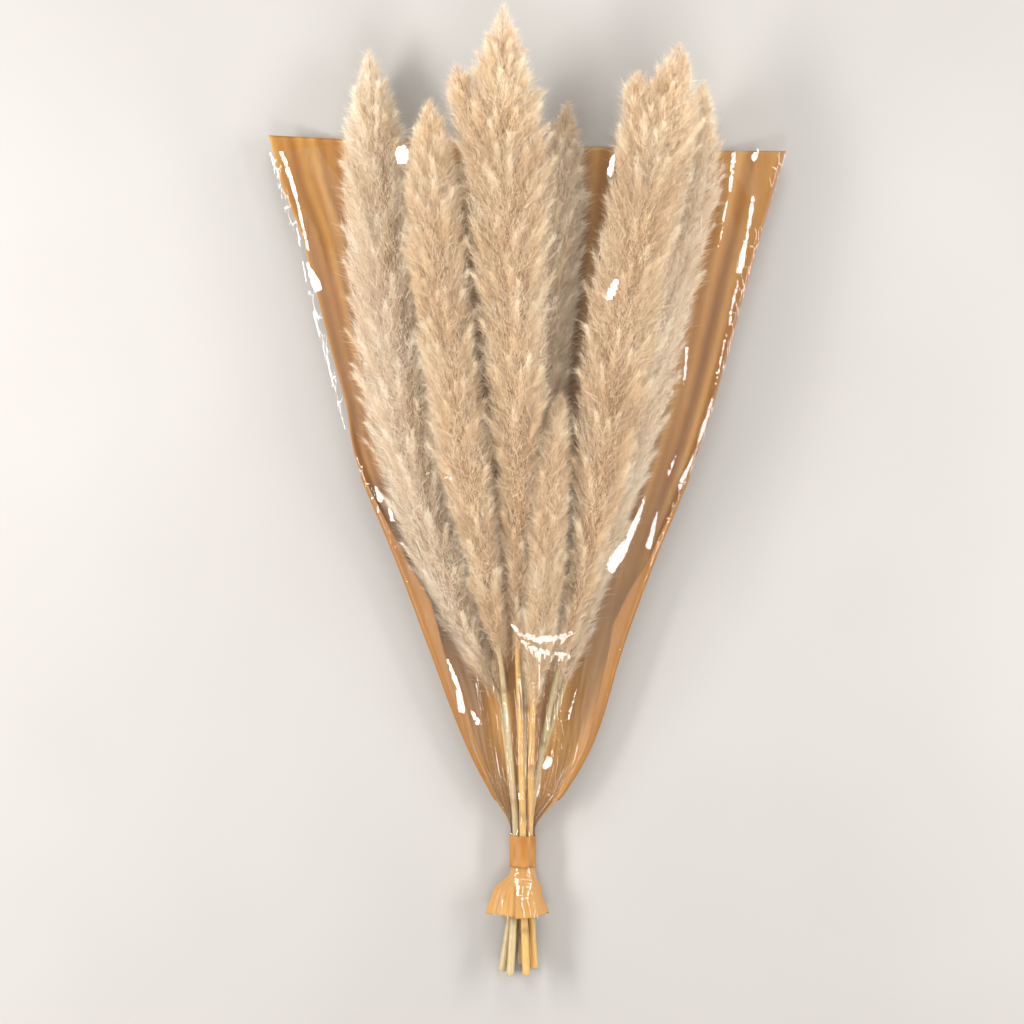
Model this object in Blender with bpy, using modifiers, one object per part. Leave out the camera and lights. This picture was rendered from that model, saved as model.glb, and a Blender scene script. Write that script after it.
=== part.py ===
"""Bundle of pampas grass in a tapered florist's sleeve, lying on its back.

Seven dried plumes lie in two layers between a kraft paper back sheet and a clear front film.
A paper band gathers both sheets round the stems, and a short skirt of both flares below it.

Metres, +Z up.  The bundle lies along Y, with the plume tips at +Y and the cut stem ends at -Y.
The origin is the middle of its footprint, and the kraft sheet rests on Z = 0.
"""
import math

import bmesh
import bpy
import numpy as np

# ---- Driving dimensions ----
SHEET_THICKNESS = 0.0004    # of the kraft sheet and of the clear film
TOUCH_GAP = 0.0004          # left between pieces that touch
TIE_X = -0.0047             # axis that the band runs round
TIE_Z = 0.0142
TIE_RADIUS = 0.0129         # outside of both sheets under the band
BAND_RADIUS = 0.0141        # outside of the band
BAND_WALL = 0.0008
BAND_TOP_Y = -0.355
BAND_BOTTOM_Y = -0.388

# The sleeve from its mouth to the end of its skirt:
# Y, left edge, right edge, height of the side seams, height of the film's crown, height of the keel.
SLEEVE = np.array([
    (0.367, -0.2695, 0.2695, 0.020, 0.123, 0.0),
    (0.240, -0.236, 0.234, 0.024, 0.127, 0.0),
    (0.060, -0.187, 0.183, 0.026, 0.122, 0.0),
    (-0.080, -0.131, 0.127, 0.024, 0.098, 0.0),
    (-0.160, -0.101, 0.098, 0.022, 0.081, 0.0),
    (-0.250, -0.067, 0.071, 0.018, 0.058, 0.0),
    (-0.310, -0.038, 0.038, 0.0155, 0.041, 0.0006),
    (-0.350, TIE_X - TIE_RADIUS, TIE_X + TIE_RADIUS, TIE_Z, TIE_Z + TIE_RADIUS, TIE_Z - TIE_RADIUS),
    (-0.392, TIE_X - TIE_RADIUS, TIE_X + TIE_RADIUS, TIE_Z, TIE_Z + TIE_RADIUS, TIE_Z - TIE_RADIUS),
    (-0.412, -0.034, 0.013, 0.0145, 0.035, 0.0007),
    (-0.438, -0.042, 0.021, 0.015, 0.042, 0.0),
])
MOUTH_SLANT = -0.008        # the mouth's right corner lies lower than its middle by this
MOUTH_SLANT_FADES_AT = 0.240
FLAT_PART = 0.62            # share of the kraft sheet's half width that lies flat on the surface
GATHER_STARTS_Y = -0.230    # from here the flat sheets roll up into a tube
GATHER_ENDS_Y = -0.345
SHEET_COLUMNS = 16
ROWS_PER_STATION = 3

# Each plume from its base to its tip: Y, X, Z, half width, half depth.
PLUMES = {
    "left_outer": [
        (-0.212, -0.028, 0.012, 0.004, 0.004), (-0.088, -0.085, 0.022, 0.026, 0.017),
        (0.098, -0.128, 0.031, 0.041, 0.026), (0.305, -0.152, 0.031, 0.039, 0.026),
        (0.398, -0.160, 0.031, 0.023, 0.018), (0.463, -0.165, 0.033, 0.003, 0.003)],
    "left_inner": [
        (-0.176, -0.027, 0.034, 0.004, 0.004), (-0.119, -0.036, 0.042, 0.012, 0.011),
        (0.067, -0.070, 0.071, 0.028, 0.022), (0.274, -0.094, 0.082, 0.028, 0.024),
        (0.357, -0.098, 0.080, 0.021, 0.016), (0.404, -0.101, 0.078, 0.003, 0.003)],
    "centre_tall": [
        (-0.160, -0.010, 0.038, 0.004, 0.004), (-0.026, -0.009, 0.059, 0.015, 0.015),
        (0.171, -0.014, 0.084, 0.034, 0.024), (0.357, -0.024, 0.086, 0.043, 0.026),
        (0.430, -0.026, 0.084, 0.027, 0.020), (0.500, -0.025, 0.082, 0.003, 0.003)],
    "centre_right": [
        (-0.150, -0.002, 0.014, 0.004, 0.004), (-0.005, 0.002, 0.024, 0.017, 0.019),
        (0.078, 0.010, 0.029, 0.024, 0.024), (0.254, 0.024, 0.031, 0.028, 0.026),
        (0.326, 0.033, 0.031, 0.022, 0.022), (0.409, 0.042, 0.032, 0.003, 0.003)],
    "right_tall": [
        (-0.191, 0.029, 0.034, 0.004, 0.004), (-0.036, 0.067, 0.057, 0.019, 0.016),
        (0.171, 0.097, 0.079, 0.036, 0.024), (0.367, 0.135, 0.079, 0.037, 0.023),
        (0.419, 0.147, 0.076, 0.023, 0.016), (0.463, 0.156, 0.074, 0.003, 0.003)],
    "right_outer": [
        (-0.212, 0.034, 0.012, 0.004, 0.004), (-0.067, 0.078, 0.021, 0.025, 0.016),
        (0.129, 0.133, 0.031, 0.038, 0.026), (0.305, 0.170, 0.031, 0.035, 0.026),
        (0.378, 0.180, 0.031, 0.021, 0.018), (0.430, 0.184, 0.032, 0.003, 0.003)],
    "right_low": [
        (-0.202, 0.006, 0.040, 0.004, 0.004), (-0.150, 0.013, 0.051, 0.010, 0.010),
        (-0.026, 0.022, 0.065, 0.013, 0.014), (0.047, 0.027, 0.070, 0.010, 0.011),
        (0.103, 0.035, 0.074, 0.003, 0.003)],
}
PLUME_SIDES = 14
PLUME_RINGS = 14

# Six stems pass the tie in a ring round a seventh, and splay below it.
# Each stem: its place in the ring in degrees, or None in the middle, and the Y of its cut end.
STEMS = {
    "left_outer": (210, -0.4955),
    "left_inner": (150, -0.4985),
    "centre_tall": (90, -0.4970),
    "right_low": (30, -0.4925),
    "right_tall": (330, -0.4980),
    "right_outer": (270, -0.4995),
    "centre_right": (None, -0.4880),
}
STEM_RADIUS = 0.0038        # at the cut end
STEM_TIP_RADIUS = 0.0030    # at the plume
RING_RADIUS = 0.0083        # of the stems' axes at the tie
SPLAY = 2.0                 # the ring at the cut ends over the ring at the tie
SPLAY_TURN = -30.0          # degrees that the ring turns between the two
FEET_X = -0.0095            # middle of the ring at the cut ends
FEET_Z = 0.0188
MIDDLE_STEM_SHIFT = 0.004   # of the middle stem's cut end, towards +X
STRAIGHT_TOP_Y = -0.352     # between these the stems run straight through the tie
STRAIGHT_BOTTOM_Y = -0.390
BEND_SOFTNESS = 0.15        # share of a stem's reach over which its bend is spread
BEND_STEPS = 9

COLOURS = {
    "pale_plume": (0.62, 0.49, 0.34),
    "warm_plume": (0.62, 0.46, 0.28),
    "stem": (0.60, 0.47, 0.24),
    "kraft": (0.55, 0.28, 0.10),
    "film": (0.90, 0.88, 0.84),
    "band": (0.58, 0.30, 0.09),
}


def clear_scene():
    """Take out the objects that the file opened with."""
    for old in list(bpy.data.objects):
        bpy.data.objects.remove(old, do_unlink=True)


def make_material(name, colour, roughness, alpha=1.0):
    """A plain Principled material."""
    material = bpy.data.materials.new(name)
    material.use_nodes = True
    shader = material.node_tree.nodes["Principled BSDF"]
    shader.inputs["Base Color"].default_value = (*colour, 1.0)
    shader.inputs["Roughness"].default_value = roughness
    shader.inputs["Metallic"].default_value = 0.0
    shader.inputs["Alpha"].default_value = alpha
    return material


def add_object(collection, name, data, material):
    """Link one named object, with its own material, into the bundle."""
    piece = bpy.data.objects.new(name, data)
    data.materials.append(material)
    collection.objects.link(piece)
    return piece


def smooth(at, knots, values):
    """A cubic through values at rising knots, which is level where the values turn back."""
    secants = np.diff(values) / np.diff(knots)
    before, after = secants[:-1], secants[1:]
    keeps_direction = before * after > 0
    total = np.where(keeps_direction, before + after, 1.0)
    inner = np.where(keeps_direction, 2 * before * after / total, 0.0)
    slopes = np.concatenate([secants[:1], inner, secants[-1:]])
    i = int(np.clip(np.searchsorted(knots, at) - 1, 0, len(knots) - 2))
    step = knots[i + 1] - knots[i]
    t = (at - knots[i]) / step
    start = (2 * t**3 - 3 * t**2 + 1) * values[i] + (t**3 - 2 * t**2 + t) * step * slopes[i]
    end = (3 * t**2 - 2 * t**3) * values[i + 1] + (t**3 - t**2) * step * slopes[i + 1]
    return start + end


# ---- Plumes ----
def make_plume(collection, name, stations, material):
    """A sphere's rings, spread along the plume's spine as ellipses."""
    table = np.array(stations)
    knots = table[:, 0]
    length = knots[-1] - knots[0]
    bm = bmesh.new()
    bmesh.ops.create_uvsphere(bm, u_segments=PLUME_SIDES, v_segments=PLUME_RINGS, radius=1.0)
    for vert in bm.verts:
        latitude = math.acos(max(-1.0, min(1.0, vert.co.z)))
        around = math.atan2(vert.co.y, vert.co.x)
        y = knots[0] + length * (1.0 - latitude / math.pi)
        x, z, half_width, half_depth = (smooth(y, knots, table[:, k]) for k in (1, 2, 3, 4))
        at_pole = abs(vert.co.z) > 0.9999
        reach = 0.0 if at_pole else 1.0
        vert.co.x = x - reach * half_width * math.cos(around)
        vert.co.y = y
        vert.co.z = z + reach * half_depth * math.sin(around)
    mesh = bpy.data.meshes.new(name)
    bm.to_mesh(mesh)
    bm.free()
    mesh.shade_smooth()
    return add_object(collection, name, mesh, material)


# ---- Stems ----
def bend_share(t):
    """Runs from 0 to 1 with t, starting level, so that a stem leaves the tie without a kink."""
    soft = BEND_SOFTNESS
    return (math.hypot(t, soft) - soft) / (math.hypot(1.0, soft) - soft)


def ring_place(angle, middle_x, middle_z, radius):
    """X and Z of a place on a ring round the tie's axis."""
    turn = math.radians(angle)
    return middle_x + radius * math.cos(turn), middle_z + radius * math.sin(turn)


def stem_points(name):
    """Points up one stem, from its cut end to its plume: X, Y, Z and radius over STEM_RADIUS."""
    angle, cut_y = STEMS[name]
    plume_y, plume_x, plume_z = PLUMES[name][0][:3]
    if angle is None:
        slot = (TIE_X, TIE_Z)
        foot = (FEET_X + MIDDLE_STEM_SHIFT, FEET_Z)
    else:
        slot = ring_place(angle, TIE_X, TIE_Z, RING_RADIUS)
        foot = ring_place(angle + SPLAY_TURN, FEET_X, FEET_Z, RING_RADIUS * SPLAY)
    points = []
    for k in range(BEND_STEPS):
        t = 1.0 - k / (BEND_STEPS - 1)
        share = bend_share(t)
        x = slot[0] + (foot[0] - slot[0]) * share
        z = slot[1] + (foot[1] - slot[1]) * share
        points.append((x, STRAIGHT_BOTTOM_Y + (cut_y - STRAIGHT_BOTTOM_Y) * t, z, 1.0))
    top_y = plume_y - TOUCH_GAP
    taper = 1.0 - STEM_TIP_RADIUS / STEM_RADIUS
    for k in range(BEND_STEPS):
        t = k / (BEND_STEPS - 1)
        share = bend_share(t)
        x = slot[0] + (plume_x - slot[0]) * share
        z = slot[1] + (plume_z - slot[1]) * share
        points.append((x, STRAIGHT_TOP_Y + (top_y - STRAIGHT_TOP_Y) * t, z, 1.0 - taper * t))
    return points


def make_stem(collection, name, material):
    """One stem as a round tube along its points."""
    points = stem_points(name)
    curve = bpy.data.curves.new("stem_" + name, "CURVE")
    curve.dimensions = "3D"
    curve.bevel_depth = STEM_RADIUS
    curve.bevel_resolution = 2
    curve.use_fill_caps = True
    spline = curve.splines.new("POLY")
    spline.points.add(len(points) - 1)
    for spot, (x, y, z, width) in zip(spline.points, points):
        spot.co = (x, y, z, 1.0)
        spot.radius = width
    spline.use_smooth = True
    return add_object(collection, "stem_" + name, curve, material)


# ---- Sleeve ----
def gather(y):
    """0 where the sheets lie open, 1 where they are rolled into a tube round the stems."""
    return float(np.clip((GATHER_STARTS_Y - y) / (GATHER_STARTS_Y - GATHER_ENDS_Y), 0.0, 1.0))


def sleeve_row(y):
    """Middle X, half width, seam, crown and keel heights of the sleeve at one Y."""
    rising = SLEEVE[::-1]
    columns = [smooth(y, rising[:, 0], rising[:, k]) for k in range(1, 6)]
    left, right, seam, crown, keel = columns
    return (left + right) / 2, (right - left) / 2, seam, crown, max(keel, 0.0)


def kraft_height(u, rolled, seam, crown, keel):
    """Height of the kraft sheet's underside at u, from -1 at its left edge to 1 at its right."""
    rise = max(0.0, (abs(u) - FLAT_PART) / (1.0 - FLAT_PART))
    tube = seam - (seam - keel) * math.cos(math.pi * u / 2)
    return (1.0 - rolled) * seam * rise**2 + rolled * tube


def film_height(u, rolled, seam, crown, keel):
    """Height of the film's outside at u.  It starts above the kraft sheet's edge."""
    open_start = 2 * SHEET_THICKNESS + 1.5 * TOUCH_GAP
    start = seam + (1.0 - rolled) * open_start + rolled * TOUCH_GAP
    arch = (1.0 - rolled) * (1.0 - abs(u)**3) + rolled * math.cos(math.pi * u / 2)
    return start + (crown - start) * arch


def make_sheet(collection, name, height, inward, material):
    """A flat grid laid to the sleeve's shape and given its thickness towards the plumes."""
    station_ys = SLEEVE[::-1, 0]
    top_y = station_ys[-1]
    stretches = len(station_ys) - 1
    bm = bmesh.new()
    bmesh.ops.create_grid(bm, x_segments=SHEET_COLUMNS, y_segments=stretches * ROWS_PER_STATION,
                          size=1.0)
    for vert in bm.verts:
        u = vert.co.x
        row_y = float(np.interp((vert.co.y + 1.0) / 2 * stretches, range(stretches + 1), station_ys))
        middle, half_width, seam, crown, keel = sleeve_row(row_y)
        rolled = gather(row_y)
        slant = max(0.0, (row_y - MOUTH_SLANT_FADES_AT) / (top_y - MOUTH_SLANT_FADES_AT))
        across = (1.0 - rolled) * u + rolled * math.sin(math.pi * u / 2)
        vert.co = (middle + half_width * across, row_y + MOUTH_SLANT * u * slant,
                   height(u, rolled, seam, crown, keel))
    mesh = bpy.data.meshes.new(name)
    bm.to_mesh(mesh)
    bm.free()
    mesh.shade_smooth()
    piece = add_object(collection, name, mesh, material)
    wall = piece.modifiers.new("thickness", "SOLIDIFY")
    wall.thickness = SHEET_THICKNESS
    wall.offset = inward
    return piece


def make_band(collection, material):
    """The strip of kraft paper wound round the gathered sheets."""
    mesh = bpy.data.meshes.new("kraft_band")
    bm = bmesh.new()
    bmesh.ops.create_cone(bm, cap_ends=False, segments=32, radius1=BAND_RADIUS,
                          radius2=BAND_RADIUS, depth=BAND_TOP_Y - BAND_BOTTOM_Y)
    bm.to_mesh(mesh)
    bm.free()
    mesh.shade_smooth()
    band = add_object(collection, "kraft_band", mesh, material)
    band.location = (TIE_X, (BAND_TOP_Y + BAND_BOTTOM_Y) / 2, TIE_Z)
    band.rotation_euler = (math.radians(90.0), 0.0, 0.0)
    wall = band.modifiers.new("thickness", "SOLIDIFY")
    wall.thickness = BAND_WALL
    wall.offset = -1.0
    return band


def main():
    clear_scene()
    bundle = bpy.data.collections.new("pampas_grass_bundle")
    bpy.context.scene.collection.children.link(bundle)
    for name, stations in PLUMES.items():
        tone = "warm_plume" if name.endswith(("inner", "low", "tall")) else "pale_plume"
        fluff = make_material("plume_" + name, COLOURS[tone], 0.9)
        make_plume(bundle, "plume_" + name, stations, fluff)
    for name in STEMS:
        cane = make_material("stem_" + name, COLOURS["stem"], 0.55)
        make_stem(bundle, name, cane)
    kraft = make_material("kraft_back_sheet", COLOURS["kraft"], 0.7)
    make_sheet(bundle, "kraft_back_sheet", kraft_height, 1.0, kraft)
    film = make_material("clear_front_film", COLOURS["film"], 0.05, alpha=0.2)
    make_sheet(bundle, "clear_front_film", film_height, -1.0, film)
    paper = make_material("kraft_band", COLOURS["band"], 0.6)
    make_band(bundle, paper)


main()
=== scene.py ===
# %% [markdown]
# # A bundle of pampas grass in its sleeve
# Seven dried plumes lie between a kraft paper back and a clear front film, and a paper band
# gathers both sheets round the canes.  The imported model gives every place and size.  This
# lesson grows the fluff, creases the sheets and finishes each surface.

# %% Load the frame
import math
from functools import reduce

import bmesh
import bpy
import numpy as np
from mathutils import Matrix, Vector


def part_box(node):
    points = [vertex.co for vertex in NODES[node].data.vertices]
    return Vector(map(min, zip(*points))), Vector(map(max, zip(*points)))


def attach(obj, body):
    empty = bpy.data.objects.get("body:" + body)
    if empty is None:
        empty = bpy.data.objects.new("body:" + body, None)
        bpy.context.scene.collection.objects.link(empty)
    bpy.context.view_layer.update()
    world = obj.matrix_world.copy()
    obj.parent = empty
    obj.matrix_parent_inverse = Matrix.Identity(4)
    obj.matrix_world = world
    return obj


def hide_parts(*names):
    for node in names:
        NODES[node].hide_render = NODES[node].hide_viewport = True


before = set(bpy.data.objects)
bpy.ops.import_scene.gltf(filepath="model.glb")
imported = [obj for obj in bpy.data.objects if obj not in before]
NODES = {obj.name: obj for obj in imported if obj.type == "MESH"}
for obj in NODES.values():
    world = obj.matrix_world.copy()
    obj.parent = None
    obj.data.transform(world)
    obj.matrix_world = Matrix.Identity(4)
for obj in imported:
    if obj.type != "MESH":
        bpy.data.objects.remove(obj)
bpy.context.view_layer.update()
PLUME_NAMES = [name[len("plume_"):] for name in sorted(NODES) if name.startswith("plume_")]
MM = 0.001
PAPER = 0.3 * MM
print("plumes:", PLUME_NAMES)

# %% [markdown]
# ## Camera, floor and light
# The bundle lies on its back, so the camera looks straight down on it through a long lens, and
# the plume tips point up the picture.  Two tall, narrow soft boxes stand left and right.  Narrow
# lights matter here: a clear film shows only what it mirrors, so each crease that turns towards
# a strip lights up as a thin line and the rest of the film stays clear.

# %% Camera
LENS_MM = 100
SENSOR_MM = 36
PICTURE_SPAN = 1.0598       # metres of the bundle's middle height that the picture shows
MIDDLE_HEIGHT = 0.040
LOOK_AT_X = -0.016
LOOK_AT_Y = -0.0176

camera_data = bpy.data.cameras.new("camera")
camera_data.lens = LENS_MM
camera_data.sensor_width = SENSOR_MM
camera = bpy.data.objects.new("camera", camera_data)
camera.location = (LOOK_AT_X, LOOK_AT_Y, MIDDLE_HEIGHT + PICTURE_SPAN * LENS_MM / SENSOR_MM)
bpy.context.scene.collection.objects.link(camera)
bpy.context.scene.camera = camera
bpy.context.scene.view_settings.view_transform = "Standard"
print("camera height in m:", round(camera.location.z, 3))


# %% Lights and world
def strip_light(name, place, size, power):
    """A rectangular soft box that looks at the middle of the bundle."""
    data = bpy.data.lights.new(name, "AREA")
    data.shape = "RECTANGLE"
    data.size, data.size_y = size
    data.energy = power
    light = bpy.data.objects.new(name, data)
    light.location = place
    aim = Vector((LOOK_AT_X, LOOK_AT_Y, MIDDLE_HEIGHT)) - Vector(place)
    light.rotation_euler = aim.to_track_quat("-Z", "Y").to_euler()
    bpy.context.scene.collection.objects.link(light)


# Where each light stands, its length and width, and its power
LIGHTS = {"left": ((-1.55, 0.10, 1.05), (1.5, 0.30), 38), "right": ((1.55, 0.05, 1.05), (1.5, 0.30), 27),
          "foot": ((0.0, -1.50, 1.75), (0.9, 0.34), 12), "head": ((0.1, 1.9, 1.6), (1.4, 0.9), 24)}
for name, (place, size, power) in LIGHTS.items():
    strip_light(name + " light", place, size, power)

WARM_WHITE = (1.0, 0.985, 0.965, 1.0)
FILL_STRENGTH = 0.50

world = bpy.data.worlds.new("studio")
bpy.context.scene.world = world
world.use_nodes = True
fill = world.node_tree.nodes["Background"].inputs
fill["Color"].default_value = WARM_WHITE
fill["Strength"].default_value = FILL_STRENGTH

# %% [markdown]
# ## Small helpers
# The node trees below have many steps, so one helper adds a node, sets its properties and joins
# its inputs.  Another turns arrays of points into a mesh.


# %% Node helpers
def step(tree, kind, feeds=None, **settings):
    """Add a node.  feeds maps an input's name or place to a socket or a plain value."""
    made = tree.nodes.new(kind)
    for key, value in settings.items():
        setattr(made, key, value)
    for key, value in (feeds or {}).items():
        if isinstance(value, bpy.types.NodeSocket):
            tree.links.new(value, made.inputs[key])
        else:
            made.inputs[key].default_value = value
    return made


def maths(tree, operation, a, b=0.0, clamp=False):
    """One arithmetic step on numbers."""
    return step(tree, "ShaderNodeMath", {0: a, 1: b}, operation=operation, use_clamp=clamp).outputs[0]


def times(tree, *factors, clamp=False):
    """The product of numbers, taken from left to right."""
    return reduce(lambda a, b: maths(tree, "MULTIPLY", a, b, clamp), factors)


def plus(tree, *terms, clamp=False):
    """The sum of numbers, taken from left to right."""
    return reduce(lambda a, b: maths(tree, "ADD", a, b, clamp), terms)


def minus(tree, a, b, clamp=False):
    """a minus b."""
    return maths(tree, "SUBTRACT", a, b, clamp)


def vectors(tree, operation, a, b=(0.0, 0.0, 0.0)):
    """One arithmetic step on vectors."""
    return step(tree, "ShaderNodeVectorMath", {0: a, 1: b}, operation=operation).outputs[0]


def sum_of(tree, *terms):
    """The sum of vectors, taken from left to right."""
    return reduce(lambda a, b: vectors(tree, "ADD", a, b), terms)


def scaled(tree, vector, factor):
    """A vector times a number."""
    return step(tree, "ShaderNodeVectorMath", {0: vector, "Scale": factor},
                operation="SCALE").outputs[0]


def parts_of(tree, vector):
    """The X, Y and Z of a vector."""
    return step(tree, "ShaderNodeSeparateXYZ", {0: vector}).outputs


def vector_of(tree, x=0.0, y=0.0, z=0.0):
    """A vector from its X, Y and Z."""
    return step(tree, "ShaderNodeCombineXYZ", {0: x, 1: y, 2: z}).outputs[0]


def between(tree, factor, a, b, **settings):
    """A place between two vectors, at a at 0 and at b at 1."""
    return step(tree, "ShaderNodeMix", {0: factor, 4: a, 5: b}, data_type="VECTOR",
                **settings).outputs[1]


def noise(tree, place, scale, detail, **more):
    """Smooth noise from 0 to 1."""
    feeds = {"Vector": place, "Scale": scale, "Detail": detail, **more}
    return step(tree, "ShaderNodeTexNoise", feeds).outputs["Fac"]


def object_place(tree):
    """Where a spot is, in its object's own coordinates."""
    return step(tree, "ShaderNodeTexCoord").outputs["Object"]


def mark(tree, name, output="Fac"):
    """What a mesh keeps under a name."""
    return step(tree, "ShaderNodeAttribute", attribute_name=name).outputs[output]


def bump(tree, height, strength, distance, **more):
    """The surface's normal, tilted by a height."""
    feeds = {"Height": height, "Strength": strength, "Distance": distance, **more}
    return step(tree, "ShaderNodeBump", feeds).outputs[0]


def ramp(tree, value, stops):
    """A colour ramp through (place, colour) stops."""
    made = step(tree, "ShaderNodeValToRGB", {0: value})
    elements = made.color_ramp.elements
    while len(elements) < len(stops):
        elements.new(0.5)
    for element, (place, colour) in zip(elements, stops):
        element.position = place
        element.color = (*colour, 1.0)
    return made.outputs[0]


def new_group(name, kind, inputs, outputs):
    """An empty node group with named sockets, its input node and its output node."""
    group = bpy.data.node_groups.new(name, kind)
    for label, socket_type, value in inputs:
        socket = group.interface.new_socket(label, in_out="INPUT", socket_type=socket_type)
        if value is not None:
            socket.default_value = value
    for label, socket_type in outputs:
        group.interface.new_socket(label, in_out="OUTPUT", socket_type=socket_type)
    return group, group.nodes.new("NodeGroupInput"), group.nodes.new("NodeGroupOutput")


def new_material(name, **settings):
    """A Principled material, its tree and its shader.  settings use plain input names."""
    material = bpy.data.materials.new(name)
    material.use_nodes = True
    shader = material.node_tree.nodes["Principled BSDF"]
    for key, value in settings.items():
        shader.inputs[key.replace("_", " ").title().replace("Ior", "IOR")].default_value = value
    return material, material.node_tree, shader


# %% Mesh helpers
def grid_faces(rows, columns, closed=False):
    """Quads between the rows of a grid of points.  closed joins the last column to the first."""
    across = columns if closed else columns - 1
    r, c = np.meshgrid(np.arange(rows - 1), np.arange(across), indexing="ij")
    here = r * columns + c
    right = r * columns + (c + 1) % columns
    return np.stack([here, right, right + columns, here + columns], -1).reshape(-1, 4)


def make_piece(name, points, faces, materials):
    """One smooth mesh object from arrays.  faces is an array of quads or a list of polygons."""
    mesh = bpy.data.meshes.new(name)
    faces = faces.tolist() if hasattr(faces, "tolist") else faces
    mesh.from_pydata([tuple(p) for p in points], [], faces)
    mesh.validate()
    mesh.shade_smooth()
    for material in materials:
        mesh.materials.append(material)
    piece = bpy.data.objects.new(name, mesh)
    bpy.context.scene.collection.objects.link(piece)
    return piece


def keep(mesh, name, values):
    """Store a number or a vector for each point of a mesh, under a name."""
    values = np.asarray(values, dtype=np.float32)
    is_vector = values.ndim == 2 and values.shape[1] == 3
    made = mesh.attributes.new(name, "FLOAT_VECTOR" if is_vector else "FLOAT", "POINT")
    made.data.foreach_set("vector" if is_vector else "value", values.ravel())


def give_paper_thickness(piece, side):
    """A wall on the side that the faces look to (1) or on the other (-1)."""
    wall = piece.modifiers.new("paper thickness", "SOLIDIFY")
    wall.thickness = PAPER
    wall.offset = side


def centre_line(node, gap=3 * MM):
    """The middle points of a long CAD piece's rings, in order along Y."""
    mesh = NODES[node].data
    points = np.array([v.co for v in mesh.vertices])
    points = points[np.argsort(points[:, 1])]
    cuts = np.where(np.diff(points[:, 1]) > gap)[0] + 1
    return np.array([(ring.min(0) + ring.max(0)) / 2 for ring in np.split(points.round(7), cuts)])


def value_noise(x, y, seed):
    """Smooth noise from -1 to 1 that changes over about one unit of x and y."""
    table = np.random.default_rng(seed).uniform(-1, 1, (64, 64))
    i, j = np.floor(x).astype(int), np.floor(y).astype(int)
    fx, fy = x - i, y - j
    fx, fy = fx * fx * (3 - 2 * fx), fy * fy * (3 - 2 * fy)
    near = table[i % 64, j % 64] * (1 - fx) + table[(i + 1) % 64, j % 64] * fx
    far = table[i % 64, (j + 1) % 64] * (1 - fx) + table[(i + 1) % 64, (j + 1) % 64] * fx
    return near * (1 - fy) + far * fy


def facet_noise(x, y, seed):
    """Flat triangular facets from -1 to 1, one unit across, with sharp creases between them."""
    table = np.random.default_rng(seed).uniform(-1, 1, (64, 64))
    i, j = np.floor(x).astype(int), np.floor(y).astype(int)
    fx, fy = x - i, y - j
    low = table[i % 64, j % 64]
    right = table[(i + 1) % 64, j % 64]
    up = table[i % 64, (j + 1) % 64]
    high = table[(i + 1) % 64, (j + 1) % 64]
    below = low + fx * (right - low) + fy * (up - low)
    above = high + (1 - fx) * (up - high) + (1 - fy) * (right - high)
    return np.where(fx + fy < 1, below, above)


print("helpers ready")

# %% [markdown]
# ## Finishes
# Dried grass, kraft paper and cane share two effects, so each is a node group.  "Dry fibres" is
# long streaky noise for paper and cane.  "Straw tone and painted shade" turns each strand's lock
# tone, root-to-tip place and depth in the fluff into a colour: neighbouring tufts differ as they
# do on a real plume, and strands deep in the fluff or near their roots are painted darker as shade.


# %% Shared effects
def blend_colours(tree, factor, a, b, **settings):
    """A mix of two colours."""
    return step(tree, "ShaderNodeMix", {0: factor, 6: a, 7: b}, data_type="RGBA", **settings).outputs[2]


def dry_fibres_group():
    """Long streaks along Y and broad blotches, each a mask from 0 to 1."""
    group, start, end = new_group(
        "dry fibres", "ShaderNodeTree",
        [("Across", "NodeSocketFloat", 400.0), ("Along", "NodeSocketFloat", 20.0),
         ("Blotch", "NodeSocketFloat", 12.0)],
        [("Streaks", "NodeSocketFloat"), ("Blotches", "NodeSocketFloat")])
    place = object_place(group)
    across, along, blotch = start.outputs[:3]
    spread = vectors(group, "MULTIPLY", place, vector_of(group, across, along, across))
    group.links.new(noise(group, spread, 1.0, 4.0), end.inputs["Streaks"])
    group.links.new(noise(group, place, blotch, 3.0), end.inputs["Blotches"])
    return group


def straw_tone_and_shade_group():
    """A strand's colour from its lock's tone, with painted shade deep in the fluff and at its root."""
    group, start, end = new_group(
        "straw tone and painted shade", "ShaderNodeTree",
        [("Deep", "NodeSocketColor", None), ("Middle", "NodeSocketColor", None),
         ("Light", "NodeSocketColor", None), ("Patchiness", "NodeSocketFloat", 0.5)],
        [("Colour", "NodeSocketColor")])
    tone, fade, outward = (mark(group, name) for name in ("tone", "fade", "outward"))
    # Painted shade: strands deeper in the fluff, and each hair towards its root, get a lower level and so a
    # darker colour; tone is each lock's own.
    level = plus(group, times(group, outward, 0.70), times(group, fade, 0.22), times(group, tone, 0.36))
    level = minus(group, level, 0.23)
    patch = minus(group, noise(group, object_place(group), 17.0, 2.0), 0.5)
    level = plus(group, level, times(group, patch, start.outputs["Patchiness"]), clamp=True)
    twice = times(group, level, 2.0)
    first = blend_colours(group, maths(group, "MINIMUM", twice, 1.0),
                          start.outputs["Deep"], start.outputs["Middle"])
    over = minus(group, twice, 1.0, clamp=True)
    group.links.new(blend_colours(group, over, first, start.outputs["Light"]), end.inputs["Colour"])
    return group


def dry_fibres(tree, across, along, blotch):
    """The streaks and the blotches of a dry surface."""
    feeds = {"Across": across, "Along": along, "Blotch": blotch}
    return step(tree, "ShaderNodeGroup", feeds, node_tree=DRY_FIBRES).outputs[:2]


DRY_FIBRES = dry_fibres_group()
STRAW_TONE_AND_SHADE = straw_tone_and_shade_group()
print("groups:", DRY_FIBRES.name, "and", STRAW_TONE_AND_SHADE.name)


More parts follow.
